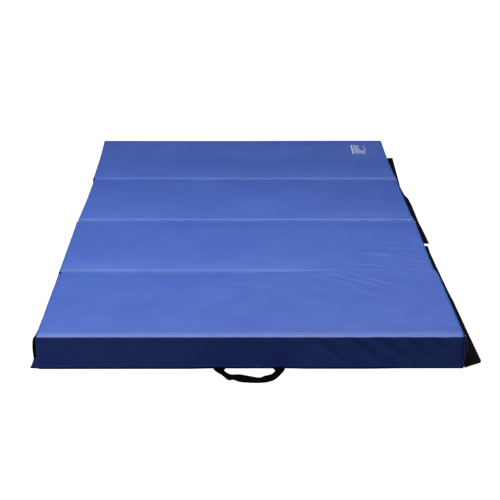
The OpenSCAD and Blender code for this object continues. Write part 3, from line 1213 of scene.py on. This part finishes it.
def floor():
    """A pale floor. Under the mat it has a recess, which is where a panel goes that folds
    under its neighbour, so that it can be seen there."""
    inner = [(LEFT + PIT_INSET, NEAR_Y + PIT_INSET), (RIGHT - PIT_INSET, NEAR_Y + PIT_INSET),
             (RIGHT - PIT_INSET, FAR_Y - PIT_INSET), (LEFT + PIT_INSET, FAR_Y - PIT_INSET)]
    outer = [(sx * FLOOR_HALF, sy * FLOOR_HALF) for sx, sy in ((-1, -1), (1, -1), (1, 1), (-1, 1))]
    points = [(x, y, 0) for x, y in outer] + [(x, y, 0) for x, y in inner]
    points += [(x, y, -PIT_DEPTH) for x, y in inner]
    faces = [[i, (i + 1) % 4, 4 + (i + 1) % 4, 4 + i] for i in range(4)]
    faces += [[4 + i, 4 + (i + 1) % 4, 8 + (i + 1) % 4, 8 + i] for i in range(4)]
    faces.append([8, 9, 10, 11])
    m = Nodes("floor")
    m.finish((0.9, 0.9, 0.9), 0.9, **{"Specular IOR Level": 0.0})
    glow = m.add("ShaderNodeEmission")
    glow.inputs["Color"].default_value = (1, 1, 1, 1)
    glow.inputs["Strength"].default_value = 1.2
    blend = m.add("ShaderNodeMixShader")
    blend.inputs["Fac"].default_value = 0.85
    m.link(m.shader.outputs["BSDF"], blend.inputs[1])
    m.link(glow.outputs["Emission"], blend.inputs[2])
    m.link(blend.outputs["Shader"], m.tree.nodes["Material Output"].inputs["Surface"])
    obj = new_object("floor", points, faces, m.material, smooth=False)
    obj.visible_diffuse = False
    obj.visible_glossy = False


CAMERA_PLACE = (MID_X - 61.0, -5201.4, 1571.5)
CAMERA_PITCH = math.radians(16.985)     # downwards
CAMERA_YAW = math.radians(0.80)         # to the right
CAMERA_ROLL = 0.0043
CAMERA_LENS = 107.69


def camera():
    """The photograph's view: from the near end, a little left of the middle."""
    level = np.array([math.sin(CAMERA_YAW), math.cos(CAMERA_YAW), 0.0])
    ahead = level * math.cos(CAMERA_PITCH) - [0, 0, math.sin(CAMERA_PITCH)]
    right = np.array([math.cos(CAMERA_YAW), -math.sin(CAMERA_YAW), 0.0])
    up = np.cross(right, ahead)
    turned_right = math.cos(CAMERA_ROLL) * right + math.sin(CAMERA_ROLL) * up
    turned_up = math.cos(CAMERA_ROLL) * up - math.sin(CAMERA_ROLL) * right
    data = bpy.data.cameras.new("camera")
    data.sensor_width = 36.0
    data.lens = CAMERA_LENS
    data.clip_end = 100
    obj = bpy.data.objects.new("camera", data)
    axes = np.stack([turned_right, turned_up, -ahead], axis=1)
    rows = [[*axis, place * MM] for axis, place in zip(axes, CAMERA_PLACE)]
    obj.matrix_world = Matrix(rows + [[0, 0, 0, 1]])
    bpy.context.scene.collection.objects.link(obj)
    bpy.context.scene.camera = obj


def area_light(name, place, target, size, power, color=(1, 1, 1)):
    data = bpy.data.lights.new(name, "AREA")
    data.shape = "RECTANGLE"
    data.size, data.size_y = size
    data.energy = power
    data.color = color
    obj = bpy.data.objects.new(name, data)
    obj.location = place
    away = Vector(place) - Vector(target)
    obj.rotation_mode = "QUATERNION"
    obj.rotation_quaternion = away.to_track_quat("Z", "Y")
    bpy.context.scene.collection.objects.link(obj)
    obj.visible_camera = False
    return obj


def lights():
    """A large soft light overhead, one behind the mat and a weak one in front of it, in a room
    that looks white and is nearly dark."""
    area_light("overhead", (-0.75, -0.7, 2.9), (-0.75, -0.7, 0), (4.0, 2.2), 136)
    area_light("back", (-1.0, 6.0, 5.6), (0, -0.9, 0), (8.0, 2.6), 120)
    area_light("front", (-3.6, -5.0, 1.3), (0, -1.2, 0), (1.6, 1.2), 31, (1.0, 0.72, 0.95))
    world = bpy.data.worlds.new("studio")
    bpy.context.scene.world = world
    world.use_nodes = True
    tree = world.node_tree
    seen = tree.nodes["Background"]
    seen.inputs["Color"].default_value = (1, 1, 1, 1)
    seen.inputs["Strength"].default_value = 1.0
    lit = tree.nodes.new("ShaderNodeBackground")
    lit.inputs["Color"].default_value = (0.85, 0.90, 1.0, 1)
    lit.inputs["Strength"].default_value = 0.045
    path = tree.nodes.new("ShaderNodeLightPath")
    mix = tree.nodes.new("ShaderNodeMixShader")
    tree.links.new(path.outputs["Is Camera Ray"], mix.inputs["Fac"])
    tree.links.new(lit.outputs["Background"], mix.inputs[1])
    tree.links.new(seen.outputs["Background"], mix.inputs[2])
    tree.links.new(mix.outputs["Shader"], tree.nodes["World Output"].inputs["Surface"])
    bpy.context.scene.view_settings.view_transform = "Standard"


# -------------------------------------------------------------------------- everything

camera()
lights()
floor()
for n in PANELS:
    cushion(n)
    foam_block(n, "soft", SOFT_FOAM)
    foam_block(n, "firm", FIRM_FOAM)
    side_flap(n)
    flap_seam(n)
    loop_tape(n)
for f in (1, 2, 3):
    fold_strip(f)
for end in ("far", "near"):
    handle(end)
    handle_patch(end)
care_label()
corner_welts()
end_hems()
corner_ear()
corner_shadow_tab()
